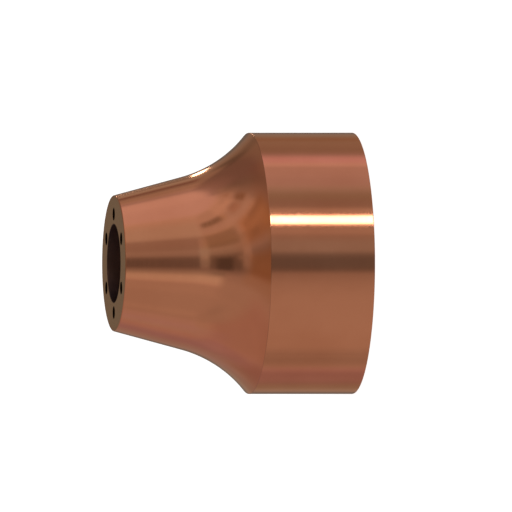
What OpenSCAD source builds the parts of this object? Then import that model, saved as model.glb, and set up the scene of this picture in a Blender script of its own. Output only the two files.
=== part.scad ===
// Plasma gouging shield: a turned copper cap that screws over the end of a cutting torch.
// It stands on its open rim with the nose up. The origin is the middle of the rim, and +Z runs
// up the axis to the nose. All sizes are in millimetres and all angles are in degrees.

/* [Outside] */
// Length from the rim to the flat nose face
shield_l = 23.56; // [21:0.01:27]
// Outside diameter of the straight skirt
skirt_d = 25.4; // [24.8:0.1:28]
// Length of the straight skirt, from the rim to the foot of the hollow flare
skirt_l = 10.24; // [9.6:0.02:12]
// Diameter of the flat nose face
nose_d = 13.22; // [12.4:0.02:15]
// Slope of the nose cone's side, measured from the axis
cone_a = 15; // [8:0.5:19]
// Radius of the hollow flare that joins the cone to the skirt
flare_r = 12.8; // [10:0.1:16]
// Size of the bevel around the nose face
nose_bevel = 0.15; // [0.05:0.05:0.5]
// Size of the bevel around the rim's outer edge
rim_bevel = 0.1; // [0.05:0.05:0.4]
// Size of the broken edge at the foot of the flare
foot_bevel = 0.1; // [0.05:0.05:0.4]

/* [Gas passages] */
// Diameter of the orifice in the middle of the nose
orifice_d = 7.56; // [6:0.02:8]
// Bevel at the orifice's inner end
orifice_bevel = 0.25; // [0.05:0.05:0.6]
// Number of small vents around the orifice
vent_n = 6; // [3:1:12]
// Diameter of each vent
vent_d = 1.18; // [0.8:0.02:1.4]
// Width of the metal left between the orifice and each vent
vent_land = 0.41; // [0.2:0.01:0.8]

/* [Inside] */
// Largest diameter of the screw thread inside the skirt
thread_d = 22.22; // [21.6:0.02:22.8]
// Pitch of the screw thread
thread_pitch = 1.27; // [0.8:0.01:1.6]
// Distance from the rim to the end of the thread
thread_l = 6; // [5:0.1:7]
// Amount by which the bevelled mouth is wider than the thread, on each side
mouth_over = 0.2; // [0.1:0.05:0.4]
// Amount by which the groove past the thread is wider than it, on each side
groove_over = 0.25; // [0.1:0.05:0.4]
// Length of the groove, from the thread to the seat
groove_l = 1.9; // [1.6:0.1:2.6]
// Diameter of the hole in the flat seat that stops the torch's cap
seat_hole_d = 18.4; // [17.4:0.1:19]
// Thickness of the wall behind the cone and the flare
wall_t = 1.9; // [1.4:0.1:2.2]
// Thickness of the nose behind its flat face
nose_t = 3; // [2:0.1:4]

/* [Hidden] */
$fn = 128;

// Copper, for the preview
copper = [0.78, 0.49, 0.34];
// Overshoot of each cut, so that no two faces coincide
over = 1;
// Amount by which a flare's disc bites into the cone that it meets, so that they always cross
bite = 0.0015;

// Corner of the cone and the nose face, before the bevel, as [radius, height]
tip = [nose_d / 2, shield_l];
// Corner of the flare and the skirt, before the edge is broken
foot = [skirt_d / 2, skirt_l];
// Unit step down the cone's side, and the unit step out of it
down = [sin(cone_a), -cos(cone_a)];
out = [cos(cone_a), sin(cone_a)];
// Vector from the foot to where the flare's centre would be if the flare began at the tip
reach = tip + flare_r * out - foot;
// Distance down the side at which the flare begins and still ends at the foot
run = -reach * down - sqrt(pow(reach * down, 2) - reach * reach + pow(flare_r, 2));
// Point where the flare begins, and the flare's centre
start = tip + run * down;
centre = start + flare_r * out;

// Radius of the bore that a 60 degree thread is cut into, with 5/8 of the full tooth's height
bore_r = thread_d / 2 - 5 / 8 * thread_pitch * sin(60);
// Height of the seat above the rim, and of the chamber's flat end
seat_z = thread_l + groove_l;
floor_z = shield_l - nose_t;
// Point where the chamber's own flare begins, behind the outer one
inner_start = start - wall_t * out;
// Radius of the chamber's flat end, on the line that runs beside the outer cone
floor_r = inner_start.x - (floor_z - inner_start.y) * tan(cone_a);

// Outline of the solid, to the right of the axis, with the flare's disc taken out
module outline() {
    difference() {
        polygon([
            [0, 0],
            [skirt_d / 2 - rim_bevel, 0],
            [skirt_d / 2, rim_bevel],
            foot - [0, foot_bevel],
            foot + [-foot_bevel, 2 * foot_bevel],
            [skirt_d / 2 - foot_bevel, start.y],
            start,
            tip + nose_bevel * [tan(cone_a), -1],
            tip - [nose_bevel, 0],
            [0, shield_l]
        ]);
        translate(centre) circle(r = flare_r + bite);
    }
}

// Thread bore, groove, seat and chamber, open at the rim
module chamber() {
    mouth_r = thread_d / 2 + mouth_over;
    groove_r = thread_d / 2 + groove_over;
    difference() {
        polygon([
            [0, -over],
            [mouth_r + over, -over],
            [bore_r, mouth_r - bore_r],
            [bore_r, thread_l],
            [groove_r, thread_l + groove_r - bore_r],
            [groove_r, seat_z],
            [seat_hole_d / 2, seat_z],
            [seat_hole_d / 2, inner_start.y],
            inner_start,
            [floor_r, floor_z],
            [0, floor_z]
        ]);
        translate(centre) circle(r = flare_r + wall_t + bite);
    }
}

// Orifice through the nose, bevelled where it leaves the chamber
module orifice() {
    polygon([
        [0, floor_z - over],
        [orifice_d / 2 + orifice_bevel + over, floor_z - over],
        [orifice_d / 2, floor_z + orifice_bevel],
        [orifice_d / 2, shield_l + over],
        [0, shield_l + over]
    ]);
}

// One of the ring of small vents through the nose
module vent() {
    translate([orifice_d / 2 + vent_land + vent_d / 2, 0, floor_z - over])
        cylinder(d = vent_d, h = nose_t + 2 * over);
}

// The shield: one section turned about the axis, then drilled
module shield() {
    color(copper)
    difference() {
        rotate_extrude()
        difference() {
            outline();
            chamber();
            orifice();
        }
        for (i = [0 : vent_n - 1]) rotate(360 * i / vent_n) vent();
    }
}

shield();
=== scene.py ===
"""Looks of a plasma gouging shield: a turned copper cap with an inside thread, on a pale studio floor.

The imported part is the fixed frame. Its axis is Z, its rim stands on z = 0 and its nose points up.
The photograph shows it lying on its side: up in the picture is +X, and left is +Z.
Sizes of the part are in millimetres as (radius, z) outlines, and the mesh is made in metres.
"""

import math

import bmesh
import bpy
from mathutils import Matrix, Vector
from mathutils.geometry import delaunay_2d_cdt


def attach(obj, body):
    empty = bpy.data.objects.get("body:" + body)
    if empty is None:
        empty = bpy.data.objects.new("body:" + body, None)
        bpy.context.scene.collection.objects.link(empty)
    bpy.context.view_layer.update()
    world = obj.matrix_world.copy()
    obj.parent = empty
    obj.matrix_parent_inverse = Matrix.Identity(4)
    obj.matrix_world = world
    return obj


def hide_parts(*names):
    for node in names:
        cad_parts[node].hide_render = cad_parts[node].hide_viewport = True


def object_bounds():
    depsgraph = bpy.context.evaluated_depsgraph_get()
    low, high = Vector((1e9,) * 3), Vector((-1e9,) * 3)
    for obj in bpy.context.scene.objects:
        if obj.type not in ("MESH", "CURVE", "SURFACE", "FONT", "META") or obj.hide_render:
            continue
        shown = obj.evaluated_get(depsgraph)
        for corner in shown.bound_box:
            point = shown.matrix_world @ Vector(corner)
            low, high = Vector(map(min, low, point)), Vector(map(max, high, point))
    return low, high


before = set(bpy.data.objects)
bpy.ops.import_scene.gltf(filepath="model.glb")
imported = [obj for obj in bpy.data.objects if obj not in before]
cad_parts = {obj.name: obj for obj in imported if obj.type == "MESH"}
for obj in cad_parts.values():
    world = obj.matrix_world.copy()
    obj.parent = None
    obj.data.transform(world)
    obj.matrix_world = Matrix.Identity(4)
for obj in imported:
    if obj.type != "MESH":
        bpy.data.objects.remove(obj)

CAD_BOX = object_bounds()
MM = 0.001

# Sizes of the part. The CAD solid's box gives the first two
TOTAL_L = CAD_BOX[1].z / MM
SKIRT_R = CAD_BOX[1].x / MM
SKIRT_L = 10.24
NOSE_R = 6.61
CONE = math.radians(15.0)
FLARE_R = 12.8
WALL = 1.9
NOSE_T = 3.0
ORIFICE_R = 3.78
ORIFICE_BEVEL = 0.25
VENTS = 6
VENT_R = 0.59
VENT_GAP = 0.41
VENT_CIRCLE_R = ORIFICE_R + VENT_GAP + VENT_R
THREAD_R = 11.11
PITCH = 1.27
# Five eighths of the full height of a 60 degree thread's tooth
TOOTH = 5 / 8 * PITCH * math.sin(math.radians(60))
BORE_R = THREAD_R - TOOTH
THREAD_L = 6.0
MOUTH_OVER = 0.2
MOUTH_R = THREAD_R + MOUTH_OVER
GROOVE_OVER = 0.25
GROOVE_R = THREAD_R + GROOVE_OVER
THREAD_TOP = THREAD_L + GROOVE_R - BORE_R
SEAT_Z = 7.9
SEAT_R = 9.2
FLOOR_Z = TOTAL_L - NOSE_T

# Small rounded edges that the tools leave
NOSE_EDGE = 0.12
RIM_EDGE = 0.06
FOOT_EDGE = 0.08
TOOL_TIP = 0.15
ORIFICE_EDGE = 0.04
DEBURR = 0.03
CORNER = 0.02
TOOTH_EDGE = 0.05
# Radius at which a vent's wall, with its rounded edge, meets the flat faces
VENT_LAND_R = VENT_R + DEBURR + 0.01
# How far the bevels at the thread's two ends are turned plainly, before the thread's own mesh takes over
LIP = 0.08

# How finely the mesh is cut. The row's height is in millimetres
SEGMENTS = 240
VENT_SEGMENTS = 48
FLARE_STEPS = 48
EDGE_STEPS = 6
THREAD_ROW = 0.08
TOOTH_STEPS = 2
# Vertices closer than this, in metres, are one, and a turn smaller than this, in radians, is straight
MERGE = 5e-7
STRAIGHT = 1e-4
CUT_MARGIN = 1e-7

# Material slots of the mesh, in the order of the finishes below
OUTSIDE, NOSE, ORIFICE, VENT, INSIDE, EDGE = range(6)

# Colours of the copper and of its tarnish, and its tint at a glancing angle
COPPER = (0.90, 0.335, 0.172)
TARNISH = (0.84, 0.300, 0.150)
GLANCING = (1.0, 0.88, 0.70)
GLANCING_NOSE = (1.0, 0.98, 0.78)
DULL = (0.62, 0.27, 0.16)
DULLER = (0.40, 0.19, 0.12)
# Near-black colours for the orifice's and vents' walls: painted shade for the dark inside these deep holes,
# not soot
SHADED_ORIFICE = (0.105, 0.06, 0.055)
SHADED_ORIFICE_TARNISH = (0.24, 0.125, 0.085)
SHADED_VENT = (0.015, 0.005, 0.002)
SHADED_VENT_TARNISH = (0.04, 0.014, 0.005)
# Darker copper for the flare's rounded foot edge: painted shade, a dark line along the crease between flare
# and skirt
SHADED_FOOT_EDGE_COLOUR = (0.72, 0.265, 0.14)
SHADED_FOOT_EDGE_TARNISH = (0.66, 0.235, 0.12)
# Finishes: name, colour, tarnish, glancing tint, roughness, its spread, and the depth of the tool's
# rings in metres
FINISHES = [
    ("copper_bright", COPPER, TARNISH, GLANCING, 0.12, 0.025, 3e-7),
    ("copper_nose", COPPER, TARNISH, GLANCING_NOSE, 0.22, 0.04, 3e-7),
    # The next two finishes' near-black colours are painted shade inside the orifice and the vents
    ("copper_orifice", SHADED_ORIFICE, SHADED_ORIFICE_TARNISH, GLANCING, 0.50, 0.08, 8e-7),
    ("copper_vent", SHADED_VENT, SHADED_VENT_TARNISH, GLANCING, 0.50, 0.08, 8e-7),
    ("copper_inside", DULL, DULLER, GLANCING, 0.32, 0.06, 8e-7),
    # The foot edge's darker colour is painted shade along the crease, not wear
    ("copper_edge_painted_shade", SHADED_FOOT_EDGE_COLOUR, SHADED_FOOT_EDGE_TARNISH, GLANCING, 0.20, 0.04, 3e-7),
]
# Sizes of the rings, the tarnish and the flecks in metres, and how much of the change in gloss is the rings'
RING_PITCH = 0.00022
CLOUD_SIZE = 0.006
FLECK_SIZE = 0.0003
RING_SHARE = 0.6
# The parts of the noises' range over which the tarnish and the gloss change
CLOUD_RANGE = (0.42, 0.72)
GLOSS_RANGE = (0.3, 0.7)

# The photograph: by how many degrees the camera looks down on the nose, the picture's width in pixels,
# the skirt's diameter in pixels and the pixel where the axis meets the rim's plane
ELEVATION = 10.0
IMAGE = 512
SKIRT_PIXELS = 261.35
AXIS_END = (352.47, 263.35)
CAMERA_DISTANCE = 0.4
CAMERA_CLIP = (0.01, 5)

# The studio. Bands are (latitude, grey), and panels are (latitude, longitude, height, width, softness
# of the level edges, softness of the upright edges, grey). Angles are in degrees: latitude 90 is +X,
# longitude 0 faces the camera and 90 is over the nose. A later panel covers an earlier one
BANDS = [
    (-90, 0.375), (-75, 0.39), (-62, 0.395), (-30, 0.38), (-20, 0.35), (-12, 0.31), (-4.5, 0.135),
    (4, 0.135), (7.5, 0.17), (11, 0.30), (22, 0.295), (30, 0.31), (56, 0.26), (62, 0.275), (70, 0.395),
    (90, 0.44),
]
PANELS = [
    (90, 130, 43, 230, 8, 30, 0.57),
    (66, 57, 26, 96, 8, 14, 0.54),
    (46, 57, 27, 72, 10, 10, 0.46),
    (54, 74, 8, 32, 6, 12, 0.53),
    (59, 48, 6, 24, 6, 12, 0.44),
    (58, 99, 9, 12, 7, 10, 0.40),
    (61, 114, 7, 12, 6, 8, 0.32),
    (44, 119, 18, 14, 8, 10, 0.19),
    (41, 107, 16, 12, 8, 12, 0.31),
    (52, 106, 8, 14, 6, 10, 0.345),
    (42, 42, 12, 46, 8, 14, 0.41),
    (44, 26, 16, 8, 6, 5, 0.45),
    (22, 40, 21, 56, 4, 12, 0.28),
    (19.5, 46, 5, 30, 4, 6, 0.25),
    (36.5, 50, 6, 30, 5, 8, 0.43),
    (34, 78, 10, 30, 6, 14, 0.40),
    (20, 84, 20, 40, 8, 10, 0.30),
    (25, 86, 6, 26, 6, 12, 0.36),
    (31.5, 92, 4, 22, 3, 8, 0.278),
    (21, 95, 6, 8, 5, 6, 0.35),
    (19, 80, 5, 8, 4, 6, 0.26),
    (15, 44, 4, 50, 3, 12, 0.33),
    (46.5, 46, 6.5, 26, 3, 6, 0.23),
    (43.5, 84, 8, 34, 5, 10, 0.385),
    (36.5, 80, 6, 34, 5, 10, 0.425),
    (37.5, 63, 7, 14, 4, 8, 0.445),
    (1, 80, 16, 32, 6, 10, 0.23),
    (-2, 85, 6, 14, 5, 8, 0.247),
    (-11, 82, 7, 36, 6, 12, 0.315),
    (-10.5, 46, 5, 26, 4, 8, 0.23),
    (-13, 54, 5, 14, 4, 6, 0.32),
    (5, 60.5, 4, 5, 4, 3, 0.235),
    (16, 27.5, 32, 8, 6, 3, 0.36),
    (-1, 27.5, 12, 8, 8, 3, 0.26),
    (29, 68, 12, 9, 6, 4, 0.41),
    (12, 67.5, 18, 8, 6, 3, 0.355),
    (2, 66.25, 10, 7.5, 6, 3, 0.28),
    (30, 139, 50, 64, 20, 28, 0.175),
    (28, 138, 12, 34, 8, 12, 0.225),
    (34, 163, 10, 14, 5, 8, 0.13),
    (58, 89, 3.5, 18, 3, 6, 0.455),
    (57, 99, 3, 4, 3, 4, 0.335),
    (53.5, 98, 3, 10, 3, 8, 0.44),
    (46, 96, 7, 10, 3, 6, 0.235),
    (47.5, 81, 6, 14, 5, 8, 0.35),
    (63, 170, 10, 20, 8, 10, 0.38),
    (28, 196, 30, 20, 14, 12, 0.26),
    (37, 180, 6, 14, 4, 6, 0.335),
    (25, 184, 14, 10, 5, 5, 0.20),
    (46, 168, 20, 12, 8, 6, 0.27),
    (55, 174, 5, 20, 3, 8, 0.34),
    (45.5, 178, 5, 12, 3, 5, 0.185),
    (10, 182, 14, 20, 5, 8, 0.16),
    (19, 171, 12, 12, 6, 6, 0.24),
    (0, 172, 14, 40, 10, 14, 0.158),
    (82, -85, 14, 60, 8, 24, 0.435),
    (80, -94, 6, 10, 5, 14, 0.455),
    (46.5, -12, 4, 36, 4, 6, 0.46),
    (28.5, -12, 6, 36, 4, 6, 0.385),
    (47, 194, 14, 14, 6, 8, 0.277),
    (-10.5, -14, 4, 50, 4, 16, 0.30),
    (-0.6, 45.6, 12.7, 15.2, 3, 5, 0.08),
    (-20, 31, 11, 28, 6, 10, 0.49),
    (-28, 100, 14, 110, 8, 16, 0.345),
    (-52, 36, 26, 34, 10, 14, 0.36),
    (-68, 62, 24, 30, 10, 12, 0.355),
    (-50, 90, 30, 84, 14, 20, 0.343),
    (-45, 80, 8, 26, 8, 12, 0.355),
    (-51, 57, 14, 12, 8, 8, 0.322),
    (-80, 115, 14, 110, 8, 30, 0.395),
    (-37, 165, 46, 60, 16, 14, 0.32),
    (-54, 150, 16, 24, 8, 10, 0.35),
    (-28, 148, 14, 24, 8, 12, 0.28),
    (-60, 235, 60, 90, 14, 24, 0.30),
    (-70, 215, 8, 50, 8, 20, 0.37),
    (-79, -72, 5, 50, 4, 14, 0.345),
    (-80, -80, 5, 16, 4, 8, 0.30),
    (-42, 193, 16, 18, 8, 8, 0.28),
    (-10, 197, 22, 34, 6, 8, 0.20),
    (-20, 166, 10, 20, 6, 8, 0.29),
]
# Tinted parts of the room: the same six sizes, and by how much green and blue are scaled there
TINTS = [
    (84, 0, 42, 400, 8, 10, 1.0, 1.15),
    (74, -150, 14, 30, 8, 14, 0.88, 1.0),
    (-62, -160, 36, 24, 14, 16, 0.86, 1.04),
    (24, 86, 20, 36, 8, 12, 0.80, 0.57),
    (-1, 83, 14, 26, 6, 8, 0.80, 0.56),
    (28, 118, 24, 30, 10, 12, 0.90, 0.86),
    (48, 142, 30, 40, 10, 16, 0.93, 1.0),
    (26, 46, 16, 34, 6, 10, 0.96, 0.82),
    (46, 50, 6, 30, 4, 8, 0.95, 0.82),
    (46, 96, 7, 10, 4, 6, 0.84, 0.66),
    (45.5, 80, 7, 14, 4, 6, 0.88, 0.80),
    (57, 99, 4, 6, 3, 4, 0.93, 0.85),
    (48, 24, 30, 10, 8, 6, 1.10, 1.12),
    (8, 27, 24, 10, 8, 5, 1.10, 1.12),
    (13, 38, 8, 36, 4, 10, 1.06, 1.08),
    (10, 47, 28, 42, 8, 8, 1.0, 0.95),
    (14, 97, 18, 12, 8, 6, 0.97, 0.87),
    (0, 172, 14, 40, 10, 14, 1.06, 0.96),
    (-30, 150, 14, 26, 8, 10, 0.93, 0.84),
    (-68, 130, 26, 50, 10, 14, 1.0, 1.09),
    (-10, 82, 12, 36, 6, 8, 0.93, 0.84),
    (37, 180, 6, 14, 4, 6, 1.12, 1.18),
    (45.5, 178, 5, 14, 3, 5, 0.76, 0.78),
    (-16, 30, 14, 30, 6, 10, 1.08, 1.06),
    (-44, 117, 46, 74, 14, 20, 0.88, 0.90),
    (-40, 160, 40, 50, 16, 20, 1.0, 1.25),
    (-58, 168, 30, 24, 12, 12, 0.91, 1.0),
    (-84, 100, 16, 140, 8, 20, 0.97, 1.08),
    (8, -12, 26, 24, 8, 14, 1.13, 1.20),
    (64, -24, 12, 24, 8, 14, 1.09, 1.0),
    (36, -168, 10, 14, 6, 8, 0.87, 0.78),
]
# Area lights: name, latitude, longitude, height, width and tilt in degrees, and radiance
SOFTBOXES = [
    ("key_light", 37.75, -12, 6.9, 34, 0, 6.2),
    ("rear_light", 24.9, 180.0, 8.2, 2.7, -16, 8.5),
]
LIGHT_DISTANCE = 0.5

# The floor: its radius, gap below the rim and grain in metres, its range of shades and its glow
FLOOR_R = 0.45
FLOOR_SEGMENTS = 96
FLOOR_GAP = 0.00002
FLOOR_GRAIN = 1 / 900
FLOOR_SHADES = (0.78, 0.82)
FLOOR_GLOW = 0.88


def flare_geometry():
    """Where the flare leaves the cone, the centre of its arc, and the cone's outward direction."""
    tip = Vector((NOSE_R, TOTAL_L))
    foot = Vector((SKIRT_R, SKIRT_L))
    down = Vector((math.sin(CONE), -math.cos(CONE)))
    out = Vector((math.cos(CONE), math.sin(CONE)))
    reach = tip + FLARE_R * out - foot
    along = reach.dot(down)
    run = -along - math.sqrt(along**2 - reach.dot(reach) + FLARE_R**2)
    start = tip + run * down
    return start, start + FLARE_R * out, out


FLARE_START, FLARE_CENTRE, CONE_OUT = flare_geometry()


def flare_arc(radius, end_angle):
    """Points of an arc about the flare's centre, from where it leaves the cone to an angle."""
    begin = math.pi + CONE
    angles = [begin + (end_angle - begin) * i / FLARE_STEPS for i in range(FLARE_STEPS + 1)]
    return [FLARE_CENTRE + radius * Vector((math.cos(a), math.sin(a))) for a in angles]


def rounded(corners, steps=EDGE_STEPS):
    """A line through (radius, z, edge radius) corners, rounded at each, as (point, normal) pairs.

    The solid lies to the left of the line, and the normals point to its right.
    """
    made = []
    for i, (r, z, edge) in enumerate(corners):
        here = Vector((r, z))
        before = here - Vector(corners[i - 1][:2]) if i else Vector(corners[1][:2]) - here
        after = Vector(corners[i + 1][:2]) - here if i + 1 < len(corners) else before
        before, after = before.normalized(), after.normalized()
        turn = math.atan2(before.cross(after), before.dot(after))
        if not edge or abs(turn) < STRAIGHT:
            way = (before + after).normalized()
            made.append((here, Vector((way.y, -way.x))))
            continue
        side = Vector((before.y, -before.x)) * math.copysign(1, turn)
        centre = here - edge * math.tan(abs(turn) / 2) * before - edge * side
        for k in range(steps + 1):
            swing = Matrix.Rotation(turn * k / steps, 2)
            made.append((centre + edge * (swing @ side), swing @ Vector((before.y, -before.x))))
    return made


def outside_line():
    """The rim, skirt, flare and cone, up to the nose's flat face."""
    foot_angle = 2 * math.pi - math.acos((SKIRT_R - FLARE_CENTRE.x) / FLARE_R)
    flare = flare_arc(FLARE_R, foot_angle)[::-1]
    face_r = NOSE_R - 3 * NOSE_EDGE
    return rounded(
        [(MOUTH_R - LIP, LIP, 0), (MOUTH_R, 0, DEBURR), (SKIRT_R, 0, RIM_EDGE), (*flare[0], FOOT_EDGE)]
        + [(*p, 0) for p in flare[1:]]
        + [(NOSE_R, TOTAL_L, NOSE_EDGE), (face_r, TOTAL_L, 0)]
    )


def orifice_line():
    """The orifice, from the nose face down to the chamber's flat end."""
    return rounded([
        (ORIFICE_R + 2 * ORIFICE_EDGE, TOTAL_L, 0),
        (ORIFICE_R, TOTAL_L, ORIFICE_EDGE),
        (ORIFICE_R, FLOOR_Z + ORIFICE_BEVEL, DEBURR),
        (ORIFICE_R + ORIFICE_BEVEL, FLOOR_Z, DEBURR),
        (ORIFICE_R + ORIFICE_BEVEL + 2 * DEBURR, FLOOR_Z, 0),
    ])


def inside_line():
    """The chamber, seat and groove, from the chamber's flat end down to the thread."""
    inner_start = FLARE_START - WALL * CONE_OUT
    floor_r = inner_start.x - (FLOOR_Z - inner_start.y) * math.tan(CONE)
    end_angle = 2 * math.pi - math.acos((SEAT_R - FLARE_CENTRE.x) / (FLARE_R + WALL))
    flare = flare_arc(FLARE_R + WALL, end_angle)
    return rounded(
        [(floor_r - CORNER, FLOOR_Z, 0), (floor_r, FLOOR_Z, CORNER)]
        + [(*p, 0) for p in flare[:-1]]
        + [
            (*flare[-1], TOOL_TIP),
            (SEAT_R, SEAT_Z, DEBURR),
            (GROOVE_R, SEAT_Z, TOOL_TIP),
            (GROOVE_R, THREAD_TOP, DEBURR),
            (GROOVE_R - LIP, THREAD_TOP - LIP, 0),
        ]
    )


def vent_line():
    """One vent's wall, as distances from its own axis, from the nose face down to the chamber."""
    return rounded([
        (VENT_LAND_R, TOTAL_L, 0),
        (VENT_R, TOTAL_L, DEBURR),
        (VENT_R, FLOOR_Z, DEBURR),
        (VENT_LAND_R, FLOOR_Z, 0),
    ])


def thread_tooth():
    """Radius against height over one pitch of the inside thread, from mid crest to mid crest."""
    crest, root = PITCH / 8, PITCH / 16
    middle = PITCH / 2
    flank = [(BORE_R, crest, TOOTH_EDGE), (THREAD_R, middle - root, TOOTH_EDGE)]
    other = [(r, PITCH - z, edge) for r, z, edge in reversed(flank)]
    corners = [(BORE_R, 0, 0), *flank, (THREAD_R, middle, 0), *other, (BORE_R, PITCH, 0)]
    line = rounded(corners, steps=TOOTH_STEPS)
    tooth = []
    for (a, _), (b, _) in zip(line, line[1:]):
        cuts = max(1, round((b.y - a.y) / THREAD_ROW))
        tooth += [a.lerp(b, i / cuts) for i in range(cuts)]
    return tooth


def vent_centres():
    """Where the vents' axes cross a level plane."""
    angles = [2 * math.pi * k / VENTS for k in range(VENTS)]
    return [(VENT_CIRCLE_R * math.cos(a), VENT_CIRCLE_R * math.sin(a)) for a in angles]


class Lathe:
    """A mesh in metres, gathered from turned and flat parts that share their edges."""

    def __init__(self):
        self.bm = bmesh.new()
        self.normal = self.bm.verts.layers.float_vector.new("turned_normal")

    def vert(self, x, y, z, normal=(0, 0, 0)):
        v = self.bm.verts.new((x * MM, y * MM, z * MM))
        v[self.normal] = Vector(normal)
        return v

    def skin(self, rows, material):
        """Faces between each row of vertices and the next."""
        for low, high in zip(rows, rows[1:]):
            for j in range(len(low) - 1):
                face = self.bm.faces.new((low[j], low[j + 1], high[j + 1], high[j]))
                face.material_index = material

    def turn(self, line, material, segments=SEGMENTS, centre=(0, 0)):
        """Turns a line of (point, normal) pairs about an upright axis."""
        rows = []
        for point, normal in line:
            row = []
            for j in range(segments):
                a = 2 * math.pi * j / segments
                c, s = math.cos(a), math.sin(a)
                place = (centre[0] + point.x * c, centre[1] + point.x * s, point.y)
                row.append(self.vert(*place, (normal.x * c, normal.x * s, normal.y)))
            rows.append(row + row[:1])
        self.skin(rows, material)

    def thread(self, material):
        """The thread, cut into the bevelled mouth below it and the groove's shoulder above it."""
        tooth = thread_tooth()
        rows = []
        for turn in range(-1, math.ceil(THREAD_TOP / PITCH) + 1):
            for point in tooth:
                row = []
                for j in range(SEGMENTS + 1):
                    a = 2 * math.pi * j / SEGMENTS
                    z = min(max(PITCH * (turn + j / SEGMENTS) + point.y, LIP), THREAD_TOP - LIP)
                    r = max(point.x, MOUTH_R - z, BORE_R + z - THREAD_L)
                    row.append(self.vert(r * math.cos(a), r * math.sin(a), z))
                rows.append(row)
        self.skin(rows[::-1], material)

    def flat(self, z, outer_r, inner_r, up, material):
        """A flat ring between two radii, with the vents' holes in it."""
        rings = [(0, 0, outer_r, SEGMENTS), (0, 0, inner_r, SEGMENTS)]
        rings += [(*centre, VENT_LAND_R, VENT_SEGMENTS) for centre in vent_centres()]
        points, edges = [], []
        for x, y, r, count in rings:
            first = len(points)
            for j in range(count):
                a = 2 * math.pi * j / count
                points.append(Vector((x + r * math.cos(a), y + r * math.sin(a))))
                edges.append((first + j, first + (j + 1) % count))
        places, _, faces, *_ = delaunay_2d_cdt(points, edges, [], 0, CUT_MARGIN)
        verts = [self.vert(p.x, p.y, z, (0, 0, up)) for p in places]
        for face in faces:
            middle = sum((places[i] for i in face), Vector((0, 0))) / len(face)
            open_here = middle.length < inner_r or middle.length > outer_r
            if open_here or any((middle - Vector(h[:2])).length < h[2] for h in rings[2:]):
                continue
            made = self.bm.faces.new([verts[i] for i in face])
            made.material_index = material

    def finish(self, name):
        """Joins what meets, and returns the object with the turned surfaces' own normals."""
        bm = self.bm
        bmesh.ops.remove_doubles(bm, verts=bm.verts, dist=MERGE)
        bmesh.ops.dissolve_degenerate(bm, edges=bm.edges, dist=MERGE)
        bmesh.ops.recalc_face_normals(bm, faces=bm.faces)
        normals = [tuple(v[self.normal]) for v in bm.verts]
        mesh = bpy.data.meshes.new(name)
        bm.to_mesh(mesh)
        bm.free()
        mesh.shade_smooth()
        mesh.normals_split_custom_set_from_vertices(normals)
        obj = bpy.data.objects.new(name, mesh)
        bpy.context.collection.objects.link(obj)
        return obj


def make_shield():
    """The whole shield as one closed mesh, with a material slot for each kind of surface."""
    outside, orifice, inside = outside_line(), orifice_line(), inside_line()
    lathe = Lathe()
    # The outside's line has one point at the lip, then the rounded mouth, rim and foot of the flare
    foot_start = 1 + 2 * (EDGE_STEPS + 1)
    foot_end = foot_start + EDGE_STEPS
    lathe.turn(outside[:foot_start + 1], OUTSIDE)
    # The foot's rounded edge takes the darker edge finish, a painted shade line at the crease
    lathe.turn(outside[foot_start:foot_end + 1], EDGE)
    lathe.turn(outside[foot_end:], OUTSIDE)
    lathe.flat(TOTAL_L, outside[-1][0].x, orifice[0][0].x, 1, NOSE)
    # The orifice and the vents take the near-black finishes, painted shade inside the holes
    lathe.turn(orifice, ORIFICE)
    for centre in vent_centres():
        lathe.turn(vent_line(), VENT, VENT_SEGMENTS, centre)
    lathe.flat(FLOOR_Z, inside[0][0].x, orifice[-1][0].x, -1, INSIDE)
    lathe.turn(inside, INSIDE)
    lathe.thread(INSIDE)
    return lathe.finish("copper_shield")


class Nodes:
    """Short way to build a node tree."""

    def __init__(self, tree):
        self.tree = tree
        tree.nodes.clear()

    def add(self, kind, inputs=(), **settings):
        """A new node, whose inputs are sockets to link to or values to set."""
        made = self.tree.nodes.new(kind)
        for key, value in settings.items():
            setattr(made, key, value)
        for key, value in dict(inputs).items():
            if isinstance(value, bpy.types.NodeSocket):
                self.tree.links.new(value, made.inputs[key])
            else:
                made.inputs[key].default_value = value
        return made

    def math(self, operation, *values):
        return self.add("ShaderNodeMath", enumerate(values), operation=operation).outputs[0]

    def noise(self, place, size, detail):
        """Noise from 0 to 1, whose features are about that size in metres."""
        inputs = {"Vector": place, "Scale": 1 / size, "Detail": detail}
        return self.add("ShaderNodeTexNoise", inputs).outputs[0]

    def blend(self, mask, low, high):
        """Goes from low to high as the mask goes from 0 to 1."""
        return self.add("ShaderNodeMix", {0: mask, 2: low, 3: high}).outputs[0]

    def ramp(self, value, start, end, low=0.0, high=1.0):
        """Goes from low to high as the value goes from start to end."""
        inputs = {"Value": value, "From Min": start, "From Max": end, "To Min": low, "To Max": high}
        return self.add("ShaderNodeMapRange", inputs).outputs[0]


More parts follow.
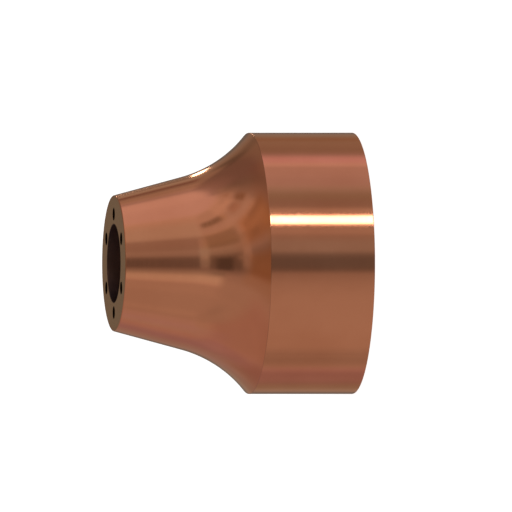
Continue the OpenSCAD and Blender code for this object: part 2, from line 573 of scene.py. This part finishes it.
def copper(name, colour, tarnish, glancing, roughness, spread, grooves):
    """Turned copper: faint rings from the tool, uneven tarnish and a little change in gloss."""
    material = bpy.data.materials.new(name)
    material.use_nodes = True
    n = Nodes(material.node_tree)
    place = n.add("ShaderNodeTexCoord").outputs["Object"]
    axes = n.add("ShaderNodeSeparateXYZ", {0: place}).outputs
    squares = [n.math("MULTIPLY", axis, axis) for axis in (axes[0], axes[1])]
    radius = n.math("SQRT", n.math("ADD", *squares))
    section = n.add("ShaderNodeCombineXYZ", {0: radius, 2: axes[2]}).outputs[0]
    rings = n.noise(section, RING_PITCH, detail=3.0)
    patch = n.ramp(n.noise(place, CLOUD_SIZE, detail=4.0), *CLOUD_RANGE)
    mixed = n.add("ShaderNodeMix", {"Factor": patch, 6: (*colour, 1), 7: (*tarnish, 1)}, data_type="RGBA")
    flecks = n.noise(place, FLECK_SIZE, detail=2.0)
    gloss = n.math("ADD", n.math("MULTIPLY", rings, RING_SHARE), n.math("MULTIPLY", flecks, 1 - RING_SHARE))
    rough = n.ramp(gloss, *GLOSS_RANGE, roughness - spread, roughness + spread)
    bump = n.add("ShaderNodeBump", {"Height": rings, "Strength": 1.0, "Distance": grooves}).outputs[0]
    shader = n.add(
        "ShaderNodeBsdfPrincipled",
        {
            "Base Color": mixed.outputs[2],
            "Roughness": rough,
            "Metallic": 1.0,
            "Specular Tint": (*glancing, 1),
            "Normal": bump,
        },
    )
    n.add("ShaderNodeOutputMaterial", {"Surface": shader.outputs[0]})
    return material


def floor_material():
    """Pale floor that stays near white and takes only a faint shadow, but is dark inside the shield."""
    material = bpy.data.materials.new("pale_floor")
    material.use_nodes = True
    n = Nodes(material.node_tree)
    place = n.add("ShaderNodeTexCoord").outputs["Object"]
    out = n.add("ShaderNodeVectorMath", {0: place}, operation="LENGTH").outputs["Value"]
    # The glow fades out just inside the mouth, so that hardly any of it shines up into the shield
    glowing = n.ramp(out, (THREAD_R - 1) * MM, MOUTH_R * MM)
    shade = n.ramp(n.noise(place, FLOOR_GRAIN, detail=3.0), 0.0, 1.0, *FLOOR_SHADES)
    colour = n.add("ShaderNodeCombineColor", {0: shade, 1: shade, 2: shade}).outputs[0]
    matt = n.add("ShaderNodeBsdfDiffuse", {"Color": colour}).outputs[0]
    strength = n.math("MULTIPLY", glowing, FLOOR_GLOW)
    glow = n.add("ShaderNodeEmission", {"Color": (1, 1, 1, 1), "Strength": strength}).outputs[0]
    both = n.add("ShaderNodeAddShader", {0: matt, 1: glow}).outputs[0]
    n.add("ShaderNodeOutputMaterial", {"Surface": both})
    return material


def make_floor():
    """A round floor just below the rim, which the copper doesn't mirror."""
    bpy.ops.mesh.primitive_circle_add(vertices=FLOOR_SEGMENTS, radius=FLOOR_R, fill_type="NGON")
    floor = bpy.context.object
    floor.name = "floor"
    floor.location.z = -FLOOR_GAP
    floor.data.materials.append(floor_material())
    floor.visible_glossy = False


def towards(lat, lon):
    """Unit vector to a place in the room. Latitude 90 is +X; longitude 0 is -Y and 90 is +Z."""
    a, b = math.radians(lat), math.radians(lon)
    return Vector((math.sin(a), -math.cos(a) * math.cos(b), math.cos(a) * math.sin(b)))


def room_mask(n, lat, lon, place):
    """How far a direction lies inside a soft-edged part of the room, from 0 to 1."""
    at_lat, at_lon, high, wide, soft_lat, soft_lon = place
    sides = []
    for value, at, half, soft in ((lat, at_lat, high / 2, soft_lat), (lon, at_lon, wide / 2, soft_lon)):
        off = n.math("ABSOLUTE", n.math("WRAP", n.math("SUBTRACT", value, at), 180, -180))
        side = n.add(
            "ShaderNodeMapRange",
            {"Value": off, "From Min": half + soft / 2, "From Max": half - soft / 2},
            interpolation_type="SMOOTHSTEP",
        )
        sides.append(side.outputs[0])
    return n.math("MULTIPLY", *sides)


def make_room():
    """A soft grey studio round the part, as latitude bands with lighter, darker and tinted parts."""
    world = bpy.data.worlds.new("studio")
    bpy.context.scene.world = world
    world.use_nodes = True
    n = Nodes(world.node_tree)
    axes = n.add("ShaderNodeSeparateXYZ", {0: n.add("ShaderNodeTexCoord").outputs["Generated"]}).outputs
    lat = n.math("MULTIPLY", n.math("ARCSINE", axes[0]), 180 / math.pi)
    lon = n.math("MULTIPLY", n.math("ARCTAN2", axes[2], n.math("MULTIPLY", axes[1], -1)), 180 / math.pi)
    level = n.ramp(lat, -90, 90)
    ramp = n.add("ShaderNodeValToRGB", {0: level})
    stops = ramp.color_ramp.elements
    while len(stops) < len(BANDS):
        stops.new(1)
    for stop, (at, grey) in zip(stops, BANDS):
        stop.position = (at + 90) / 180
        stop.color = (grey, grey, grey, 1)
    light = n.add("ShaderNodeRGBToBW", {0: ramp.outputs[0]}).outputs[0]
    for *place, grey in PANELS:
        light = n.blend(room_mask(n, lat, lon, place), light, grey)
    green = blue = light
    for *place, green_scale, blue_scale in TINTS:
        mask = room_mask(n, lat, lon, place)
        green = n.math("MULTIPLY", green, n.blend(mask, 1.0, green_scale))
        blue = n.math("MULTIPLY", blue, n.blend(mask, 1.0, blue_scale))
    colour = n.add("ShaderNodeCombineColor", {0: light, 1: green, 2: blue}).outputs[0]
    room = n.add("ShaderNodeBackground", {"Color": colour}).outputs[0]
    page = n.add("ShaderNodeBackground", {"Color": (1, 1, 1, 1), "Strength": 1.0}).outputs[0]
    seen = n.add("ShaderNodeLightPath").outputs["Is Camera Ray"]
    both = n.add("ShaderNodeMixShader", {0: seen, 1: room, 2: page}).outputs[0]
    n.add("ShaderNodeOutputWorld", {"Surface": both})


def softbox(name, lat, lon, high, wide, tilt, radiance):
    """An area light seen from the part as a rectangle of that many degrees, tilted by an angle."""
    data = bpy.data.lights.new(name, "AREA")
    data.shape = "RECTANGLE"
    data.size = 2 * LIGHT_DISTANCE * math.tan(math.radians(wide / 2))
    data.size_y = 2 * LIGHT_DISTANCE * math.tan(math.radians(high / 2))
    data.energy = radiance * math.pi * data.size * data.size_y
    lamp = bpy.data.objects.new(name, data)
    bpy.context.collection.objects.link(lamp)
    back = towards(lat, lon)
    up = (Vector((1, 0, 0)) - back * back.x).normalized()
    turn = Matrix((up.cross(back), up, back)).transposed() @ Matrix.Rotation(math.radians(tilt), 3, "Z")
    place = back * LIGHT_DISTANCE + Vector((0, 0, TOTAL_L * MM / 2))
    lamp.matrix_world = Matrix.Translation(place) @ turn.to_4x4()


def make_camera():
    """An orthographic camera a little above the rim's plane, on its side as in the photograph."""
    e = math.radians(ELEVATION)
    back = Vector((0, -math.cos(e), math.sin(e)))
    up = Vector((1, 0, 0))
    right = up.cross(back)
    data = bpy.data.cameras.new("camera")
    data.type = "ORTHO"
    pixel = 2 * SKIRT_R * MM / SKIRT_PIXELS
    data.ortho_scale = IMAGE * pixel
    data.clip_start, data.clip_end = CAMERA_CLIP
    camera = bpy.data.objects.new("camera", data)
    bpy.context.collection.objects.link(camera)
    turn = Matrix((right, up, back)).transposed()
    middle = right * pixel * (IMAGE / 2 - AXIS_END[0]) + up * pixel * (AXIS_END[1] - IMAGE / 2)
    camera.matrix_world = Matrix.Translation(middle + back * CAMERA_DISTANCE) @ turn.to_4x4()
    bpy.context.scene.camera = camera


scene = bpy.context.scene
scene.view_settings.view_transform = "Standard"
make_camera()
make_room()
make_floor()
for light in SOFTBOXES:
    softbox(*light)

shield = make_shield()
for finish in FINISHES:
    shield.data.materials.append(copper(*finish))
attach(shield, "root")
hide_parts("shield")
